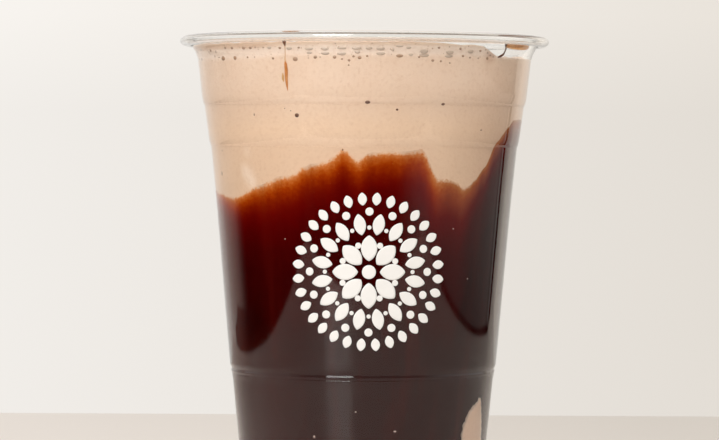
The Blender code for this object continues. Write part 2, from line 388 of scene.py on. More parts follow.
def glow(name, axis, tones, fade=((0.0, 1.0), (1.0, 1.0))):
    # a sheet that gives light: tones at places along one axis, times a share that changes with height
    recipe = Recipe(name)
    tone = recipe.ramp(recipe.axis(axis), warmStops(tones))
    share = recipe.ramp(recipe.axis(2), [(z, (v, v, v, 1.0)) for z, v in fade])
    lit = recipe.node("ShaderNodeEmission", {}, {"Color": recipe.mix(1.0, tone, share, "MULTIPLY")})
    # from behind it lets the camera through, so that the object shows from all sides
    behind = recipe.node("ShaderNodeNewGeometry", output=6)
    return recipe.finish(recipe.node("ShaderNodeMixShader", {}, {
        0: behind, 1: lit, 2: recipe.node("ShaderNodeBsdfTransparent")}))


def counterFinish():
    # pale and slightly glossy, with painted shade making it a little darker towards both ends
    recipe = Recipe("pale counter")
    tone = recipe.ramp(recipe.axis(0), studio["counterTones"])
    return recipe.finish(recipe.principled(Base_Color=tone, Roughness=studio["counterRoughness"]))


def stageSheet(name, corners, material, *hiddenRays):
    mesh = bpy.data.meshes.new(name)
    mesh.from_pydata(corners, [], [tuple(range(len(corners)))])
    mesh.materials.append(material)
    sheet = bpy.data.objects.new(name, mesh)
    bpy.context.scene.collection.objects.link(sheet)
    for ray in hiddenRays:
        setattr(sheet, "visible_" + ray, False)


def makeStage():
    wallY, top, bottom = studio["wallDistance"], studio["wallHeight"], studio["wallBottom"]
    bend, bendTop, right = studio["wallBend"], studio["wallBendTop"], studio["wallTones"][-1][0]
    low, left = bottom[0][1], bottom[-1][0]
    wall = glow("pale wall", 0, studio["wallTones"], studio["wallFade"])
    stageSheet("backdrop", [(x, wallY, z) for x, z in ((bend, low), (right, low), (right, top), (bend, top))],
               wall, "diffuse")
    stageSheet("backdrop left", [(x, wallY, z) for x, z in bottom[::-1] + [(bend, bendTop), (left, bendTop)]],
               wall, "camera", "diffuse")
    pale = counterFinish()
    stageSheet("counter", [(x, y, 0.0) for x, y in studio["counter"]], pale)
    half, drop = studio["floorHalf"], studio["floorDrop"]
    stageSheet("floor", [(x * half, y * half, -drop) for x, y in ((-1, -1), (1, -1), (1, 1), (-1, 1))],
               pale, "glossy")
    unseen = ("camera", "diffuse", "shadow", "transmission")
    stageSheet("dim corner", [(x, y, 0.0) for x, y in studio["corner"]],
               glow("dim counter", 1, studio["cornerTones"]), *unseen)

    def onCard(y, z):
        return studio["cardPlace"] + studio["cardTurn"] * y, y, z

    outline, strip = studio["cardOutline"][::-1], studio["edgeStrip"]
    stageSheet("right card", [onCard(y, z) for y, z in outline],
               glow("grey card", 1, studio["cardTones"], studio["cardFade"]), *unseen)
    (back, high), (_, low) = outline[1:3]
    stageSheet("dark strip", [onCard(back, low), onCard(back + strip, low), onCard(back + strip, high),
                              onCard(back, high)], plain("black", (0, 0, 0, 1), 1.0), *unseen)


def addLamp(name):
    # a rectangular lamp aimed at the middle of the cup, from the settings that start with its name
    azimuth, elevation = math.radians(studio[name + "Azimuth"]), math.radians(studio[name + "Elevation"])
    towards = Vector((math.sin(azimuth) * math.cos(elevation), -math.cos(azimuth) * math.cos(elevation),
                      math.sin(elevation)))
    lamp = bpy.data.lights.new(name, "AREA")
    lamp.shape, lamp.energy, lamp.color = "RECTANGLE", studio[name + "Power"], studio[name + "Colour"]
    lamp.size, lamp.size_y = studio[name + "Size"]
    holder = bpy.data.objects.new(name, lamp)
    bpy.context.scene.collection.objects.link(holder)
    holder.location = Vector((0, 0, studio["lampAim"])) + towards * studio[name + "Distance"]
    holder.rotation_euler = towards.to_track_quat("Z", "Y").to_euler()
    return holder


def makeLight():
    addLamp("key")
    addLamp("fill").visible_glossy = False
    # even light from all round; reflections see a room that is dim in front, brighter behind and dark below
    room = Recipe("room", world=True)
    tone = room.ramp(room.axis(1), warmStops(studio["roomTones"]))
    above = room.axis(2).fade(*studio["horizon"])
    seen = room.node("ShaderNodeBackground", {}, {"Color": tone, "Strength": above})
    even = room.node("ShaderNodeBackground", {},
                     {"Color": studio["ambientColour"], "Strength": studio["ambient"]})
    reflected = room.node("ShaderNodeLightPath", {}, {}, output=3)
    mixed = room.node("ShaderNodeMixShader", {}, {0: reflected, 1: even, 2: seen})
    bpy.context.scene.world = room.finish(mixed, "ShaderNodeOutputWorld")
    bpy.context.scene.view_settings.view_transform = "Standard"


# the clear cup

cup = {
    "sheet": 0.5,
    "rimTop": 138.0, "rimRadius": 49.0,
    "rollHalfWidth": 1.9, "rollHalfHeight": 1.36, "rollEnd": -120.0,
    "outerWall": [  # radius, height and how far the corner is rounded, from under the rim roll down
        (45.70, 135.15, 0.3), (44.85, 133.50, 0.7), (44.32, 132.10, 0.7), (44.13, 130.50, 0.8),
        (43.22, 122.40, 0.6), (43.05, 121.30, 0.5), (42.87, 120.50, 0.4), (42.70, 119.95, 0.15),
        (42.48, 119.60, 0.3), (41.36, 111.50, 0.6), (41.20, 110.45, 0.5), (41.02, 109.65, 0.4),
        (40.86, 109.10, 0.15), (40.69, 108.77, 0.3), (40.38, 105.80, 4.0), (39.22, 94.60, 5.0),
        (35.42, 51.10, 0.5), (34.93, 50.00, 0.12), (35.14, 49.36, 0.18), (34.92, 48.92, 0.12),
        (34.86, 48.66, 0.04), (34.90, 48.51, 0.05), (34.66, 47.10, 0.6), (33.00, 30.90, 8.0)],
    "heelCentre": (27.3, 3.0), "heelRadius": 3.0,
    "ringInner": 25.9, "baseEdge": 24.6, "baseRise": 2.7,
    "cornerSteps": 6, "longestStep": 2.4,
    "hiddenBelow": 129.0,       # behind the contents the inner face has fewer steps
    "hiddenCornerSteps": 2, "hiddenLongestStep": 9.0,
    "baseCorner": 0.5, "baseLongestStep": 8.0,
    "columns": 240,
    # a dark ring of painted shade inside the roll: radius, height, half thickness and points round it
    "rimShadeLine": (48.05, 137.18, 0.11, 8),
    "colour": (0.985, 0.985, 0.98, 1), "roughness": 0.045, "refraction": 1.52,
    "shadowTint": (0.99, 0.99, 0.985, 1),
}


def outerWall(cornerSteps, longest):
    # the wall's outer face from the rim down to the heel, its corners rounded
    heelSide = (cup["heelCentre"][0] + cup["heelRadius"], cup["heelCentre"][1], 0.0)
    corners = np.array(cup["outerWall"] + [heelSide])
    return evenSteps(roundCorners(corners[:, :2], corners[:, 2], cornerSteps), longest)


wallProfile = outerWall(cup["cornerSteps"], cup["longestStep"])


def wallRadius(height):
    # outer radius of the wall at a height; above its top it stays as wide as there
    return np.interp(height, wallProfile[::-1, 1], wallProfile[::-1, 0])


def innerFace(height, into=0.0):
    # inner radius of the wall, with a reach into the sheet so that no air shows
    return wallRadius(height) - cup["sheet"] + into


def cupSection():
    # one line round the sheet's section: up the inside, over the roll, back under it and down the outside
    sheet, heel, radius = cup["sheet"], cup["heelCentre"], cup["heelRadius"]
    width, height, end = cup["rollHalfWidth"], cup["rollHalfHeight"], cup["rollEnd"]
    rollCentre = (cup["rimRadius"] - width, cup["rimTop"] - height)
    floorHeight = cup["baseRise"] + sheet
    floor = roundCorners([(hub, floorHeight), (cup["baseEdge"] - sheet, floorHeight),
                          (cup["ringInner"], sheet), (heel[0], sheet)], cup["baseCorner"])
    floor = evenSteps(floor, cup["baseLongestStep"])
    innerHeel = arc(heel, radius - sheet, radius - sheet, -90, 0, 8)
    coarse = outerWall(cup["hiddenCornerSteps"], cup["hiddenLongestStep"])
    innerWall = np.vstack([wallProfile[wallProfile[:, 1] > cup["hiddenBelow"]],
                           coarse[coarse[:, 1] <= cup["hiddenBelow"]][:-1]])[::-1] - np.array([sheet, 0.0])
    roll = arc(rollCentre, width, height, 180, end, 36)
    hollow = arc(rollCentre, width - sheet, height - sheet, end, 180, 16)
    outerHeel = arc(heel, radius, radius, 0, -90, 10)
    under = roundCorners([(heel[0] - 0.01, 0.0), (cup["ringInner"], 0.0), (cup["baseEdge"], cup["baseRise"]),
                          (hub, cup["baseRise"])], cup["baseCorner"])
    under = evenSteps(under, cup["baseLongestStep"])
    return np.vstack([floor, innerHeel, innerWall, roll, hollow, wallProfile[:-1], outerHeel, under])


def clearPlastic():
    # clear plastic with a slight waviness, which lets lamps through
    recipe = Recipe("clear plastic")
    wave = recipe.noise(38.0, 1.0, 0.4)
    body = recipe.principled(Base_Color=cup["colour"], Roughness=cup["roughness"], IOR=cup["refraction"],
                             Transmission_Weight=1.0, Normal=recipe.bump(wave, 0.05, 0.0004))
    clear = recipe.node("ShaderNodeBsdfTransparent", {}, {"Color": cup["shadowTint"]})
    shadow = recipe.node("ShaderNodeLightPath", {}, {}, output=1)
    return recipe.finish(recipe.node("ShaderNodeMixShader", {}, {0: shadow, 1: body, 2: clear}))


def makeCup():
    section = cupSection()
    azimuth = roundCup(cup["columns"])
    rings = onCup(azimuth, section[:, :1], section[:, 1:])
    shell = roundBody("cupShell", rings, cup["baseRise"] + cup["sheet"], cup["baseRise"], clearPlastic())
    settle(shell, "cup", "cup")
    # a thin closed ring of painted shade inside the roll: a small circle carried round the axis
    radius, height, half, around = cup["rimShadeLine"]
    turn = circle(around)
    points = onCup(azimuth[:, None], radius + half * np.cos(turn), height + half * np.sin(turn))
    quads = ringFaces(len(azimuth) + 1, around) % (len(azimuth) * around)
    edge = buildMesh("rimShadeLine", points.reshape(-1, 3), [quads], rimShadeLineFinish())
    settle(edge, "cup")


def rimShadeLineFinish():
    # greyish brown, painted shade for the dark line in the roll
    recipe = Recipe("painted rim shade line")
    tone = recipe.mix(recipe.noise(220.0, 3.0), srgb(120, 104, 90), srgb(150, 136, 122))
    return recipe.finish(recipe.principled(Base_Color=tone, Roughness=0.4))


# sauce and milkshake

palePatch = srgb(246, 230, 214)

contents = {
    "shakeReach": 0.12, "sauceReach": 0.22,
    "level": 133.0, "collarRise": 2.4, "dipFall": 0.95, "collarWidth": 3.6, "ruffle": 0.10, "swirl": 0.2,
    "dip": (42.6, 9.0, 134.0, 10.0),        # azimuth and width of its start, then of its end
    "slopeFall": 0.62, "slope": (12.0, 32.0, 134.0, 10.0),
    "edgeThickness": 0.4, "thickness": 1.8, "feather": 14.0, "edgeWave": 0.08,
    "poolTop": 6.5, "poolRings": (12.0, 22.0), "sauceFoot": (26.3, 7.4), "shakeFoot": (26.0, 7.8),
    "fuzz": 1.8,            # the sauce reaches this far past its outline, as clear as the drink
    "tuckedReach": 0.02, "tuckFade": 2.4,
    # rows of points lie closer this far below the outline, and evenly from gapTop to wallFoot
    "edgeZone": 12.0, "gapTop": 46.0, "gapRows": 58, "wallFoot": 11.0, "wallEnd": 3.4,
    "sauceEdge": [  # azimuth and height
        (-88, 99.6), (-84, 97.4), (-77, 96.4), (-70, 96.0), (-61, 95.0), (-55.4, 95.6), (-50, 96.7),
        (-46, 97.8), (-42, 98.2), (-38, 99.3), (-34, 100.3), (-30, 100.7), (-26.7, 101.4), (-23.7, 102.7),
        (-19.7, 103.7), (-16.6, 104.0), (-14, 104.4), (-11.2, 105.6), (-9.4, 106.9), (-7.8, 107.8),
        (-6.2, 107.4), (-4.6, 105.9), (-2, 104.7), (0.9, 106.5), (7.5, 107.0), (17.6, 107.0), (21.4, 107.8),
        (23, 106.7), (24.9, 103.9), (26.8, 101.3), (28.6, 100.1), (34.4, 100.0), (37.3, 99.3), (41, 97.5),
        (43.5, 98.3), (46, 99.6), (51.8, 103.2), (57.5, 109.7), (64.2, 113.3), (69.2, 115.4), (80.8, 115.8),
        (95, 112.5), (110, 105.0), (124, 101.0), (138, 104.5), (146, 109.0), (153, 104.0), (168, 99.0),
        (180, 97.5), (196, 101.0), (208, 106.5), (216, 103.0), (230, 98.5), (246, 97.0), (260, 99.5)],
    "gap": [  # where the drink shows through the sauce: height, left and right azimuth
        (43.2, 64.6, 65.2), (42.2, 61.4, 66.2), (41.4, 58.6, 66.9), (39.4, 54.9, 67.9), (38.6, 54.2, 68.4),
        (36.4, 51.8, 69.6), (34.4, 51.3, 70.4), (31.6, 50.6, 71.4), (26.0, 50.2, 71.8), (20.0, 52.0, 70.5),
        (14.5, 57.5, 67.0), (12.6, 61.5, 63.0)],
    "gapBlur": 0.7, "gapWobble": 0.5, "gapDepth": 0.9,
    # films on the sauce, and painted warm light on its left: start and its width, end and its width, in
    # degrees
    "darkLeft": (-84, 10, -50, 10), "darkLeftGain": 0.35,
    "darkRight": (38, 14, 130, 20),
    "milkySpan": (24, 10, 130, 20), "milkyShare": 0.42,
    # painted warm light: the sauce redder on the left, standing for warm light reflected into it
    "warmLightSpan": (-150, 20, -64, 9), "warmLightShare": 0.19,
    # patches in the drink, pale ones and one of painted shade: azimuth, radius and height, reach, strength
    # and colour
    "patches": [((-50.5, 39.3, 102.6), 2.8, 0.5, palePatch), ((-48.6, 39.2, 101.0), 3.4, 0.6, palePatch),
                ((-47.0, 39.1, 99.2), 2.4, 0.6, palePatch), ((-48.5, 39.6, 107.4), 2.2, 0.35, palePatch),
                # painted shade: the drink darker on its right, where less light reaches
                ((57.0, 40.0, 108.0), 19.0, 0.27, srgb(150, 110, 80)),
                ((47.0, 43.7, 132.9), 3.2, 0.55, srgb(196, 150, 118))],
    # the brown line under the rim lies lower on the left, from one place along X to another
    "lineLeft": (-0.020, -0.028), "lineDrop": 0.0007,
    "shakeTones": [     # height in metres and colour
        (0.0, srgb(222, 195, 174)), (0.03, srgb(222, 195, 174)), (0.06, srgb(222, 195, 172)),
        (0.095, srgb(226, 199, 172)), (0.1085, srgb(229, 202, 176)), (0.1135, srgb(235, 209, 183)),
        (0.120, srgb(232, 208, 186)), (0.126, srgb(236, 214, 194)), (0.1314, srgb(236, 214, 194)),
        (0.1325, srgb(248, 232, 218)), (0.1344, srgb(246, 230, 216)), (0.1350, srgb(222, 192, 166)),
        (0.1357, srgb(230, 204, 184)), (0.138, srgb(230, 204, 184))],
    "sauceTones": [     # depth below the outline and colour
        (-2.0, srgb(224, 186, 152)), (-0.4, srgb(224, 186, 152)), (0.1, srgb(214, 152, 98)),
        (0.6, srgb(200, 124, 66)), (1.2, srgb(190, 103, 40)), (2.0, srgb(177, 80, 19)),
        (3.0, srgb(160, 58, 5)), (4.2, srgb(143, 42, 2)), (5.6, srgb(127, 27, 2)), (7.0, srgb(113, 14, 2)),
        (8.6, srgb(101, 6, 2)), (11.0, srgb(91, 2, 2)), (14.5, srgb(80, 2, 2)), (18.0, srgb(69, 2, 2)),
        (26.0, srgb(58, 2, 2)), (36.0, srgb(53, 3, 2)), (45.0, srgb(42, 3, 2)), (46.0, srgb(42, 3, 2))],
    "sauceColumns": 600, "shakeColumns": 360,
}


def ripple(azimuth, seed, waves, low, high):
    # sum of sines round the cup, each with a random frequency between low and high and a random phase
    draw = np.random.default_rng(seed)
    turns = draw.integers(low, high + 1, waves)
    phase = draw.uniform(0, 2 * np.pi, waves)
    return np.sin(np.radians(azimuth)[..., None] * turns + phase).sum(axis=-1) / math.sqrt(waves)


def sauceEdge(azimuth):
    # from each outline point to the next by 0.45 ease(t) + 0.55 t, with low waves on it
    outline = contents["sauceEdge"]
    spots = np.array(outline + [(outline[0][0] + 360, outline[0][1])])
    turned = (azimuth - spots[0, 0]) % 360 + spots[0, 0]
    part = np.clip(np.searchsorted(spots[:, 0], turned, side="right") - 1, 0, len(spots) - 2)
    start, end = spots[part], spots[part + 1]
    share = (turned - start[..., 0]) / (end[..., 0] - start[..., 0])
    height = start[..., 1] + (end[..., 1] - start[..., 1]) * (0.45 * ease(share) + 0.55 * share)
    return height + contents["edgeWave"] * ripple(azimuth, 3, 10, 30, 110)


def inGap(azimuth, height):
    # 1 inside the gap in the sauce and 0 outside, over about half a millimetre
    spots, blur = np.array(contents["gap"])[::-1], contents["gapBlur"]
    wobble = contents["gapWobble"] * ripple(height * 9.0, 9, 8, 3, 26)
    left = np.interp(height, spots[:, 0], spots[:, 1]) + wobble
    right = np.interp(height, spots[:, 0], spots[:, 2]) + 0.15 * wobble
    turned = signed(azimuth)
    inside = ease((turned - left) / blur + 0.5) * ease((right - turned) / blur + 0.5)
    return inside * ((height < spots[-1, 0]) & (height > spots[0, 0]))


def sauceReach(belowEdge):
    # how far the sauce goes into the wall; at its very top it lies under the drink's own face
    least = contents["tuckedReach"]
    share = ease((belowEdge + contents["fuzz"]) / contents["tuckFade"])
    return least + (contents["sauceReach"] - least) * share


def sauceDepth(belowEdge):
    # thickness of the sauce, thin at its outline and eased to the full one below
    full = contents["thickness"] - contents["edgeThickness"]
    return contents["edgeThickness"] + full * ease(belowEdge / contents["feather"])


def frothHeight(azimuth, fromWall):
    # level, plus a collar exp(-(s/w)^2) up the wall, plus a low swirl
    # the collar falls a little on the way to the dip, and lies below the level in it
    start, rise, end, fall = contents["dip"]
    dip = np.clip((azimuth - start) / rise, 0, 1) ** 0.8 * (1 - ease((azimuth - end) / fall))
    climb = contents["collarRise"] * (1 - dip) - contents["dipFall"] * dip
    slope = contents["slopeFall"] * between(azimuth, *contents["slope"])
    climb = climb + (contents["ruffle"] * ripple(azimuth, 21, 8, 9, 60) - slope) * (1 - dip)
    width = contents["collarWidth"] * (1 + 2 * dip)
    swirl = contents["swirl"] * np.sin(np.radians(2 * azimuth) + fromWall / 6.0)
    return contents["level"] + climb * np.exp(-(fromWall / width) ** 2) + swirl * ease(fromWall / 8.0)


def shakeTone(recipe):
    # creamy brown, lighter towards the froth, with soft clouds and a fine grain
    onLeft = recipe.axis(0).fade(*contents["lineLeft"])
    rise = recipe.axis(2) + onLeft * contents["lineDrop"]
    tone = recipe.ramp(rise, contents["shakeTones"])
    tone = recipe.mix((recipe.noise(70.0, 4.0, 0.55) - 0.35).clamped() * 0.5, tone, srgb(216, 180, 150))
    # pale spots, and a patch of painted shade on the drink's right
    for place, reach, share, patchColour in contents["patches"]:
        away = recipe.node("ShaderNodeVectorMath", {"operation": "DISTANCE"},
                           {0: recipe.where, 1: tuple(onCup(*place))}, output=1)
        tone = recipe.mix((1 - away / (reach * mm)).clamped() * share, tone, patchColour)
    grain = recipe.noise(1100.0, 2.0, 0.6)
    return recipe.mix((grain - 0.5).clamped() * 0.9, tone, srgb(198, 158, 126)), grain


def milkshakeFinish():
    recipe = Recipe("milkshake")
    tone, grain = shakeTone(recipe)
    froth = recipe.attribute("froth")
    cell = recipe.cells(620.0)
    small = recipe.cells(1500.0)
    foam = (cell * 1.2 + small * 0.9).clamped()
    tone = recipe.mix(froth * (1 - foam) * 0.55, tone, srgb(206, 166, 136))
    swirl = recipe.noise(34.0, 3.0, 0.6, stretch=(1, 2.2, 1))
    tone = recipe.mix(froth * ((swirl - 0.52) * 5.0).clamped() * 0.35, tone, srgb(176, 122, 88))
    normal = recipe.bump(grain * (1 - froth) + (cell + small * 0.5) * froth * 3.0, 0.25, 0.0003)
    return recipe.finish(recipe.principled(Base_Color=tone, Roughness=0.45, Normal=normal))


def sauceFinish():
    # colour by depth below the outline: the drink's own, a thin orange film, then darker and darker
    recipe = Recipe("chocolate sauce")
    below = recipe.attribute("belowEdge")
    ragged = recipe.uneven(1.5, 1500.0, 2.0, 0.6) + recipe.uneven(0.8, 600.0, 3.0, 0.55)
    mottle = recipe.uneven(2.4, 1000.0, 2.0, 0.6) * below.fade(0.3, 1.8)
    blotch = recipe.uneven(6.5, 260.0, 4.0, 0.7)
    streak = recipe.uneven(1.8, 620.0, 3.0, 0.6, stretch=(1, 1, 0.14))
    varied = ragged + mottle + (blotch + streak) * below.fade(0.4, 5.4)
    deep = below + varied * below.fade(12.0, 0.0) + recipe.attribute("thinFilm")
    tone = recipe.ramp(deep, contents["sauceTones"])
    milky = recipe.attribute("milkyFilm") * below.fade(8.8, 3.3)
    tone = recipe.mix(milky, tone, srgb(126, 84, 56))
    # painted warm light, redder on the left: down its edge, and below the outline's lowest part
    rise = recipe.axis(2)
    warmEdgeLight = recipe.attribute("redFilm") * rise.fade(0.045, 0.060)
    warmLowLight = rise.fade(0.064, 0.054) * recipe.axis(0).fade(-0.013, -0.023) * 0.06
    tone = recipe.mix(warmEdgeLight + warmLowLight, tone, srgb(130, 50, 30))
    # at its very edge it has the drink's own colour
    shake, _ = shakeTone(recipe)
    tone = recipe.mix(deep.fade(-0.5, 0.4), shake, tone)
    veins = recipe.uneven(1.4, 150.0, 3.0, 0.6, stretch=(1, 1, 0.06))
    tone = recipe.mix(veins.clamped(), tone, srgb(96, 22, 14))
    return recipe.finish(recipe.principled(Base_Color=tone, Roughness=0.35, Specular_IOR_Level=0.0))


def makeSauce():
    azimuth = roundCup(contents["sauceColumns"])
    turned = signed(azimuth)
    edge = sauceEdge(azimuth)
    reach, fuzz, poolTop = contents["sauceReach"], contents["fuzz"], contents["poolTop"]
    # level lines round the cup, with one height for each column
    gapTop, foot = contents["gapTop"] + 0 * edge, contents["wallFoot"] + 0 * edge
    heel, inset = cup["heelCentre"], cup["heelRadius"] - cup["sheet"] + reach
    floor = cup["baseRise"] + cup["sheet"] - reach
    # the sauce gets dark sooner towards the left and on the steep right edge
    onRight = between(turned, *contents["darkRight"])
    rate = 1 + contents["darkLeftGain"] * between(turned, *contents["darkLeft"]) + onRight
    # the outline's slope, squared and averaged over its neighbours
    step = np.radians(azimuth[1]) * innerFace(edge)
    steepness = ((np.roll(edge, -3) - np.roll(edge, 3)) / (6 * step)) ** 2
    steepness = sum(np.roll(steepness, k) for k in range(-8, 9)) / 17
    rings, below = [], []

    def addRing(radius, height):
        # drop below the outline, times the cosine of the outline's slope near it
        drop = (edge - height) * rate
        rings.append(onCup(azimuth, radius, height))
        below.append(drop / np.sqrt(1 + steepness * np.exp(-np.maximum(drop, 0) / 7.0)))

    for radius in (hub, *contents["poolRings"]):
        addRing(radius, poolTop)
    addRing(*contents["sauceFoot"])
    thinTop, fineTop = edge - contents["feather"], edge - contents["edgeZone"]
    for z in np.vstack([spread(foot, thinTop, 12)[:-1], spread(thinTop, edge, 8), edge[None] + fuzz * 0.7]):
        addRing(innerFace(z) - sauceDepth(edge - z), z)
    for z in np.vstack([spread(edge + fuzz, fineTop, 26)[:-1], spread(fineTop, gapTop, 20)[:-1],
                        spread(gapTop, foot, contents["gapRows"])[:-1],
                        spread(foot, contents["wallEnd"], 6)]):
        addRing(innerFace(z, sauceReach(edge - z)) - contents["gapDepth"] * inGap(azimuth, z), z)
    for radius, height in arc(heel, inset, inset, -12, -90, 5):
        addRing(radius, height)
    for radius, height in ((cup["ringInner"] + 0.2, cup["sheet"]), (cup["baseEdge"] - 0.3, floor),
                           (contents["poolRings"][0], floor), (hub, floor)):
        addRing(radius, height)
    # the last of these is painted warm light on the left
    films = {"thinFilm": onRight,
             "milkyFilm": contents["milkyShare"] * between(turned, *contents["milkySpan"]),
             "redFilm": contents["warmLightShare"] * between(turned, *contents["warmLightSpan"])}
    shape = (len(rings), len(azimuth))
    attributes = {key: np.broadcast_to(values, shape) for key, values in films.items()}
    sauce = roundBody("sauceLining", rings, poolTop, floor, sauceFinish(), {"belowEdge": below, **attributes})
    settle(sauce, "sauce", "sauce")


def makeMilkshake():
    azimuth = roundCup(contents["shakeColumns"])
    edge = sauceEdge(azimuth)
    reach = contents["shakeReach"]
    gapTop = contents["gapTop"] + 0 * edge
    top = frothHeight(azimuth, 0.0)
    rim = innerFace(top, reach)
    rings = [onCup(azimuth, rim - s, frothHeight(azimuth, s))
             for s in np.geomspace(0.25, rim.min() - 0.6, 46)[::-1]]
    onTop = len(rings)
    for z in spread(top, edge - 0.4, 120):
        rings.append(onCup(azimuth, innerFace(z, reach), z))
    for z in np.vstack([spread(edge - 0.8, gapTop, 12)[:-1],
                        spread(gapTop, contents["wallFoot"], contents["gapRows"])]):
        # inside the sauce, and out at the wall in the gap
        behind = (sauceDepth(edge - z) + reach) * (1 - inGap(azimuth, z))
        rings.append(onCup(azimuth, innerFace(z, reach) - behind, z))
    bottom = contents["poolTop"] + 0.05
    rings.append(onCup(azimuth, *contents["shakeFoot"]))
    for radius in (*contents["poolRings"][::-1], hub):
        rings.append(onCup(azimuth, radius, bottom))
    froth = np.zeros((len(rings), len(azimuth)))
    froth[:onTop] = 1.0
    middle = frothHeight(0.0, 45.0)
    milkshake = roundBody("milkshakeBody", rings, middle, bottom, milkshakeFinish(), {"froth": froth})
    settle(milkshake, "milkshake", "milkshake")


# bubbles

bubbles = {
    # against the wall in front: azimuth, height, width and height of each
    "large": [(-32.9, 134.0, 1.3, 1.1), (-25.4, 133.8, 1.7, 1.2), (-18.5, 133.65, 2.3, 1.25),
              (-13.1, 133.65, 2.1, 1.15), (-7.5, 133.8, 2.5, 1.0), (-2.6, 133.8, 2.6, 1.15),
              (1.4, 133.8, 1.8, 1.1), (5.2, 133.7, 2.3, 1.15), (9.1, 133.5, 0.9, 1.3),
              (11.3, 134.35, 2.0, 0.8), (14.4, 134.0, 1.4, 0.8), (19.8, 133.25, 2.2, 1.9),
              (29.2, 133.1, 2.3, 1.6), (37.4, 133.5, 1.9, 1.6), (-18.5, 132.6, 1.5, 0.9),
              (-13.1, 132.5, 2.3, 1.2), (-7.6, 132.4, 2.4, 1.25), (-2.4, 132.75, 1.4, 1.0),
              (5.3, 132.45, 2.3, 1.15), (15.4, 132.2, 1.2, 0.8), (20.0, 132.1, 2.8, 1.1),
              (29.1, 132.0, 2.4, 1.0)],
    "small": [(-53.2, 134.3, 1.0, 1.0), (-49.6, 134.2, 1.1, 1.1), (-43.9, 134.1, 1.2, 1.2),
              (-40.8, 134.1, 1.1, 1.1), (-38.6, 134.1, 0.5, 0.5), (-35.3, 134.0, 0.6, 0.5),
              (-28.9, 133.9, 0.9, 0.9), (-22.0, 133.9, 0.7, 0.7), (-56.1, 131.6, 1.8, 1.5),
              (-49.3, 131.6, 1.4, 1.3), (-43.0, 131.6, 0.7, 0.6), (-39.8, 131.6, 0.5, 0.4),
              (-32.1, 131.2, 0.8, 0.7), (-23.7, 131.0, 1.5, 1.3), (-16.6, 131.4, 1.0, 0.9),
              (-14.9, 131.4, 0.4, 0.4), (-10.0, 131.4, 1.0, 0.9), (-7.5, 130.9, 0.6, 0.5),
              (-5.2, 130.6, 0.8, 0.7), (-5.3, 129.4, 0.5, 0.5), (-3.7, 131.6, 0.7, 0.6),
              (-1.7, 131.3, 1.1, 0.9), (0.8, 131.7, 0.7, 0.6), (11.6, 131.9, 1.9, 1.1),
              (18.3, 131.6, 0.7, 0.6), (23.2, 130.8, 0.9, 0.8), (26.2, 130.6, 0.7, 0.6),
              (29.7, 130.2, 0.5, 0.4), (34.7, 132.1, 0.8, 0.7), (33.0, 134.0, 0.8, 0.9),
              (37.7, 131.7, 0.6, 0.5), (41.4, 131.6, 0.5, 0.5), (41.6, 133.6, 0.9, 0.8),
              (24.9, 134.1, 0.8, 0.8), (45.6, 131.7, 1.0, 0.9), (43.9, 133.9, 0.5, 0.5),
              (45.3, 133.1, 0.6, 0.5), (46.9, 132.5, 0.7, 0.5), (48.6, 132.1, 0.6, 0.4)],
    "specks": [(1.1, 120.1, 1.4, 1.0), (28.3, 119.8, 1.1, 0.9), (11.4, 118.2, 0.7, 0.6),
               (-24.3, 116.7, 1.3, 1.2), (-42.5, 116.9, 0.4, 0.7), (-26.6, 117.8, 0.35, 0.3),
               (-28.9, 118.4, 0.3, 0.3), (-69.0, 101.7, 0.5, 1.3), (-66.6, 107.6, 0.3, 0.5),
               (46.7, 113.2, 0.5, 0.4), (-46.2, 97.5, 0.4, 0.5), (-7.8, 107.9, 0.5, 0.5),
               (139.0, 121.4, 1.1, 0.9), (166.0, 118.2, 0.7, 0.6), (-151.0, 115.5, 1.2, 1.0),
               (-118.0, 121.0, 0.9, 0.8), (102.0, 122.5, 0.7, 0.6)],
    # glints: tiny bubbles in the sauce, each a painted highlight with painted shade at its foot
    "glints": [(-31.9, 84.9, 0.4, 0.4), (36.8, 87.7, 0.4, 0.4), (46.1, 74.7, 0.4, 0.4),
               (14.4, 35.5, 0.75, 0.55), (-22.1, 33.9, 0.6, 0.8), (-3.1, 40.6, 0.4, 0.4)],
    "largeFrom": 1.25,      # width
    # more of them round the back
    "behind": 70, "behindSpan": (130, 302), "behindRows": (134.0, 131.9), "behindScatter": 0.25,
    "behindWidths": (0.5, 1.9), "behindHeights": (0.5, 1.4),
    # a fine sprinkle under the rim
    "fineCount": 260, "fineTop": 135.0, "fineScatter": 1.9, "fineLowest": 129.0, "fineSizes": (0.16, 0.42),
    "fineFree": (43, 127),  # none in the dip
}


def addEllipsoids(name, centres, axes, material, rows=6, columns=12):
    # one closed ellipsoid per centre; axes[piece] holds three half-axis vectors, the last one the pole
    polar = np.linspace(0, np.pi, rows + 2)[1:-1, None]
    turn = circle(columns)
    unit = np.stack([np.sin(polar) * np.cos(turn), np.sin(polar) * np.sin(turn), np.cos(polar) + 0 * turn],
                    axis=-1)
    grids = centres[:, None, None, :] + np.einsum("rck,pkx->prcx", unit, axes)
    tips = np.stack([centres + axes[:, 2], centres - axes[:, 2]], axis=1)
    # its rise goes from 1 at the crown to -1 at the foot
    rise = (np.broadcast_to(unit[..., 2], grids.shape[:3]), np.tile([1.0, -1.0], (len(centres), 1)))
    settle(closedGrids(name, grids, tips, material, {"rise": rise}), "milkshake")


def addWallSpots(name, spots, depth, outward, material):
    # flat ellipsoids against the inner wall, from rows of azimuth, height, width and height
    azimuth, height, width, tall = np.asarray(spots, float).T
    along, out, up = wallAxes(azimuth)
    centres = onCup(azimuth, innerFace(height) + outward, height)
    axes = np.stack([along * width[:, None] / 2, out * depth, up * tall[:, None] / 2], axis=1) * mm
    addEllipsoids(name, centres, axes, material)


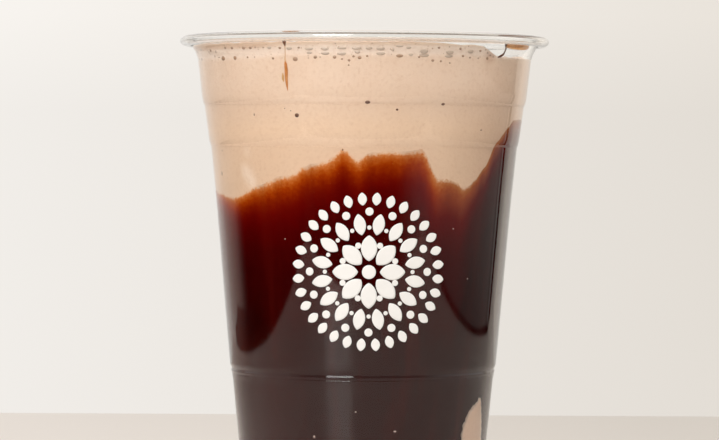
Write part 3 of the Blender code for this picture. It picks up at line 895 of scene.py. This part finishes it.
def bubbleFinish(name, stops):
    # colours from a bubble's foot, -1, to its crown, 1, with painted shade low and painted light high
    recipe = Recipe(name)
    tone = recipe.ramp(recipe.attribute("rise"), stops)
    tone = recipe.mix((recipe.noise(900.0, 2.0) - 0.5).clamped() * 0.6, tone, srgb(160, 134, 114))
    return recipe.finish(recipe.principled(Base_Color=tone, Roughness=0.3))


def paintedLightAndShade(upper, lower):
    # painted light at the top, and painted shade, a darker crescent, at the foot
    return [(-1.0, lower), (-0.45, lower), (0.1, upper), (1.0, upper)]


def makeBubbles():
    draw = np.random.default_rng(7)
    count = bubbles["behind"]
    azimuth = draw.uniform(*bubbles["behindSpan"], count)
    height = draw.choice(bubbles["behindRows"], count) + draw.normal(0, bubbles["behindScatter"], count)
    width = draw.uniform(*bubbles["behindWidths"], count)
    behind = np.column_stack([azimuth, height, width, draw.uniform(*bubbles["behindHeights"], count)])
    isLarge = width > bubbles["largeFrom"]
    # painted shade low in each bubble and speck, painted light at its crown
    addWallSpots("frothBubbles", bubbles["large"] + behind[isLarge].tolist(), 0.16, 0.08,
                 bubbleFinish("froth bubbles", [
                     (-1.0, srgb(216, 198, 180)), (-0.7, srgb(187, 169, 153)), (-0.2, srgb(198, 180, 164)),
                     (0.35, srgb(218, 200, 183)), (0.8, srgb(240, 222, 204)), (1.0, srgb(240, 222, 204))]))
    addWallSpots("smallBubbles", bubbles["small"] + behind[~isLarge].tolist(), 0.16, 0.07,
                 bubbleFinish("small bubbles", paintedLightAndShade(srgb(180, 152, 128), srgb(158, 128, 104))))
    addWallSpots("darkSpecks", bubbles["specks"], 0.26, 0.03,
                 bubbleFinish("cocoa specks", paintedLightAndShade(srgb(112, 76, 56), srgb(84, 50, 36))))
    # painted highlights on tiny bubbles in the sauce, with painted shade at their foot
    addWallSpots("sauceGlints", bubbles["glints"], 0.12, 0.22,
                 bubbleFinish("painted glint highlights", paintedLightAndShade(srgb(214, 190, 176), srgb(120, 84, 76))))
    # the fine ones lie denser higher up
    count = bubbles["fineCount"]
    azimuth = draw.uniform(-180, 180, count)
    height = bubbles["fineTop"] - np.abs(draw.normal(0, bubbles["fineScatter"], count))
    size = draw.uniform(*bubbles["fineSizes"], count)
    freeFrom, freeTo = bubbles["fineFree"]
    keep = ~((azimuth > freeFrom) & (azimuth < freeTo)) & (height > bubbles["fineLowest"])
    fine = np.column_stack([azimuth, height, size, size * draw.uniform(0.7, 1.1, count)])[keep]
    # painted light at the crown and painted shade at the foot
    addWallSpots("fineBubbles", fine, 0.20, 0.03,
                 bubbleFinish("fine bubbles", paintedLightAndShade(srgb(206, 178, 152), srgb(172, 140, 114))))


topFroth = {
    "count": 520,
    "nearest": 0.9, "meanFromWall": 7.0, "farthest": 44.0,
    "logSize": (-0.55, 0.55), "sizes": (0.25, 1.9),         # half width
    "dipSpan": (25, 75), "dipReach": 14, "dipSize": 0.3,    # near the dip they are small
    "sunk": 0.25, "flatness": 0.62,                         # shares of the half width
    "tones": [(0.0, srgb(206, 168, 140)), (0.5, srgb(232, 204, 180)), (1.0, srgb(220, 188, 160))],
}


def makeTopFroth():
    # domes lying in the froth, most of them near the wall
    draw = np.random.default_rng(11)
    count = topFroth["count"]
    fromWall = draw.exponential(topFroth["meanFromWall"], count) + topFroth["nearest"]
    fromWall = np.minimum(fromWall, topFroth["farthest"])
    azimuth = draw.uniform(-180, 180, count)
    size = np.clip(draw.lognormal(*topFroth["logSize"], count), *topFroth["sizes"])
    first, last = topFroth["dipSpan"]
    nearDip = (azimuth > first) & (azimuth < last) & (fromWall < topFroth["dipReach"])
    size = np.where(nearDip, topFroth["dipSize"], size)
    height = frothHeight(azimuth, fromWall)
    rim = innerFace(frothHeight(azimuth, 0.0))
    centres = onCup(azimuth, np.maximum(rim - fromWall - size, hub), height - size * topFroth["sunk"])
    axes = np.zeros((count, 3, 3))
    axes[:, 0, 0] = axes[:, 1, 1] = size
    axes[:, 2, 2] = size * topFroth["flatness"]
    addEllipsoids("topFroth", centres, axes * mm, topFrothFinish(), columns=14)


def topFrothFinish():
    recipe = Recipe("froth domes")
    tone = recipe.ramp(recipe.attribute("rise"), topFroth["tones"])
    return recipe.finish(recipe.principled(Base_Color=tone, Roughness=0.12, Coat_Weight=0.6))


# thin sauce left on the wall and the rim

smears = {
    # two colours of each finish
    "tones": {"dark": (srgb(84, 42, 22), srgb(118, 72, 44)),
              "thin": (srgb(196, 130, 72), srgb(216, 160, 108)),
              "light": (srgb(200, 140, 88), srgb(232, 186, 134)),
              "thinnest": (srgb(210, 168, 116), srgb(222, 184, 138))},
    # paths: name and finish, then rows of azimuth, height, width and distance outside the inner face
    "paths": [
        ("dropSmear", "dark", [(-26.9, 135.7, 0.4, 0.05), (-26.8, 135.4, 1.1, 0.12),
                               (-26.8, 134.9, 0.8, 0.15), (-26.8, 134.3, 0.35, 0.15)]),
        ("trailSmear", "thinnest", [(-26.8, 134.5, 0.24, 0.16), (-27.1, 133.0, 0.2, 0.2),
                                    (-27.4, 131.4, 0.2, 0.2), (-27.5, 130.0, 0.35, 0.2)]),
        ("streakSmear", "thin", [(-27.5, 130.4, 0.3, 0.18), (-27.3, 129.7, 0.8, 0.22),
                                 (-27.2, 127.9, 0.95, 0.22), (-27.3, 126.0, 0.8, 0.22),
                                 (-27.2, 124.4, 0.6, 0.2), (-27.0, 122.9, 0.15, 0.18)]),
        ("blotchSmear", "thinnest", [(-28.6, 127.4, 0.2, 0.14), (-28.6, 126.8, 0.6, 0.16),
                                     (-28.6, 126.0, 0.7, 0.16), (-28.4, 125.2, 0.25, 0.14)]),
        ("hookSmear", "dark", [(53.3, 136.0, 0.5, 0.1), (53.3, 135.4, 1.25, 0.15), (53.9, 134.6, 0.75, 0.15),
                               (54.1, 133.7, 0.65, 0.2), (53.9, 132.9, 0.75, 0.2), (52.6, 132.4, 0.7, 0.2),
                               (51.0, 132.0, 0.3, 0.15)])],
    "thickness": 0.16, "around": 10, "steps": 40,
    # bands under and on the roll: name and finish, start and end azimuth, radius, height, and the
    # half thickness and half height of the section
    "bands": [("underRimSmear", "light", 53.6, 70.6, 45.32, 135.12, 0.12, 1.05),
              ("rimSmearRight", "dark", 45.0, 70.0, 48.1, 137.22, 0.18, 0.24),
              ("rimSmearLeft", "thin", -26.0, -20.4, 47.4, 137.72, 0.30, 0.09)],
    "bandSteps": 36,
}


def ribbon(path):
    # a lens-shaped section carried along a path on the inner wall
    spots = np.array(path, float)
    share = np.linspace(0, 1, smears["steps"])
    azimuth, height, width, out = (np.interp(share, np.linspace(0, 1, len(spots)), c) for c in spots.T)
    smooth = np.array([0.25, 0.5, 0.25])
    azimuth[1:-1], height[1:-1] = np.convolve(azimuth, smooth, "valid"), np.convolve(height, smooth, "valid")
    centre = onCup(azimuth, innerFace(height) + out, height)
    forward = np.gradient(centre, axis=0)
    forward /= np.linalg.norm(forward, axis=1, keepdims=True)
    _, normal, _ = wallAxes(azimuth)
    side = np.cross(forward, normal)
    t = circle(smears["around"])[:, None]
    thick = smears["thickness"] * np.minimum(width, 1.0)[:, None, None]
    ring = side[:, None] * (width[:, None, None] / 2 * np.cos(t)) + normal[:, None] * (thick * np.sin(t))
    return centre[:, None, :] + ring * mm, np.stack([centre[0], centre[-1]])


def rimBand(start, end, radius, height, thick, tall):
    # an ellipse carried round the cup, thinner towards both ends by sin(pi s)^0.35
    steps = smears["bandSteps"]
    azimuth = np.linspace(start, end, steps)
    taper = np.sin(np.pi * np.linspace(0.06, 0.94, steps))[:, None] ** 0.35
    t = circle(smears["around"])
    grid = onCup(azimuth[:, None], radius + thick * taper * np.cos(t), height - tall * taper * np.sin(t))
    return grid, onCup(azimuth[[0, -1]], radius, height)


def smearFinish(name, dark, light):
    recipe = Recipe(name)
    patch = recipe.noise(700.0, 3.0, 0.6)
    tone = recipe.mix(((patch - 0.4) * 3.0).clamped(), dark, light)
    return recipe.finish(recipe.principled(Base_Color=tone, Roughness=0.25, Specular_IOR_Level=0.2))


def makeSmears():
    finishes = {key: smearFinish(key + " sauce smear", *tones) for key, tones in smears["tones"].items()}
    forms = [(name, finish, ribbon(path)) for name, finish, path in smears["paths"]]
    forms += [(name, finish, rimBand(*sizes)) for name, finish, *sizes in smears["bands"]]
    for name, finish, (grid, tips) in forms:
        settle(closedGrids(name, grid[None], tips[None], finishes[finish]), "sauce")


# ornament printed on the front

ornament = {
    "azimuth": 2.1, "height": 76.7,
    "ink": 0.06, "sunk": 0.05,      # how far the ink stands out and goes in
    "shares": (0.25, 0.55, 0.8, 1.0), "points": 24,     # rings and points of each petal and dot
    # rings of petals: count, inner and outer end, width, turn in steps, sharpness
    "petals": [(8, 2.8, 9.4, 4.2, 0.0, 1.48), (16, 9.6, 15.1, 3.1, 0.5, 1.6),
               (32, 17.1, 20.4, 2.3, 0.5, 1.54)],
    # rings of dots: count, distance, radius, turn in steps
    "dots": [(1, 0.0, 1.8, 0.0), (8, 7.3, 0.78, 0.5), (16, 15.5, 1.05, 0.0), (16, 11.4, 0.55, 0.0)],
    "tones": (srgb(228, 226, 223), srgb(240, 239, 237)),
}


def printedShape(outline, centre):
    # a thin closed plate on the wall: rings of a flat outline shrunk towards its centre, mapped round the cup
    shares = np.array(ornament["shares"])[:, None, None]
    front = centre + (outline - centre) * shares
    rows = np.concatenate([front, front[::-1]])
    ink, sunk = ornament["ink"], ornament["sunk"]

    def onWall(across, up, lift):
        height = ornament["height"] + up
        radius = wallRadius(height)
        return onCup(ornament["azimuth"] + np.degrees(across / radius), radius + lift, height)

    grid = onWall(rows[..., 0], rows[..., 1], np.repeat([ink, -sunk], len(shares))[:, None])
    return grid, np.stack([onWall(*centre, ink), onWall(*centre, -sunk)])


def makePrint():
    around = circle(ornament["points"])
    shapes = []
    for count, inner, outer, width, step, sharpness in ornament["petals"]:
        # petal: half length cos t along, half width |sin t|^sharpness across
        along = (inner + outer) / 2 + (outer - inner) / 2 * np.cos(around)
        across = width / 2 * np.sign(np.sin(around)) * np.abs(np.sin(around)) ** sharpness
        for turn in (np.arange(count) + step) * 2 * np.pi / count:
            x = np.array([np.sin(turn), np.cos(turn)])
            y = np.array([np.cos(turn), -np.sin(turn)])
            shapes.append(printedShape(along[:, None] * x + across[:, None] * y, x * (inner + outer) / 2))
    for count, distance, radius, step in ornament["dots"]:
        for turn in (np.arange(count) + step) * 2 * np.pi / count:
            centre = distance * np.array([np.sin(turn), np.cos(turn)])
            outline = centre + radius * np.column_stack([np.cos(around), -np.sin(around)])
            shapes.append(printedShape(outline, centre))
    grids, tips = (np.array(parts) for parts in zip(*shapes))
    settle(closedGrids("printedRosette", grids, tips, inkFinish()), "print")


def inkFinish():
    recipe = Recipe("white ink")
    tone = recipe.mix(recipe.noise(260.0, 4.0, 0.6), *ornament["tones"])
    rough = recipe.noise(900.0, 2.0) * 0.2 + 0.35
    return recipe.finish(recipe.principled(Base_Color=tone, Roughness=rough))


makeCamera()
makeStage()
makeLight()
print("stage: camera, stage and light")
makeCup()
print("stage: cup")
makeSauce()
makeMilkshake()
print("stage: sauce and milkshake")
makeBubbles()
makeTopFroth()
print("stage: froth and bubbles")
makeSmears()
makePrint()
print("stage: smears and printed rosette")
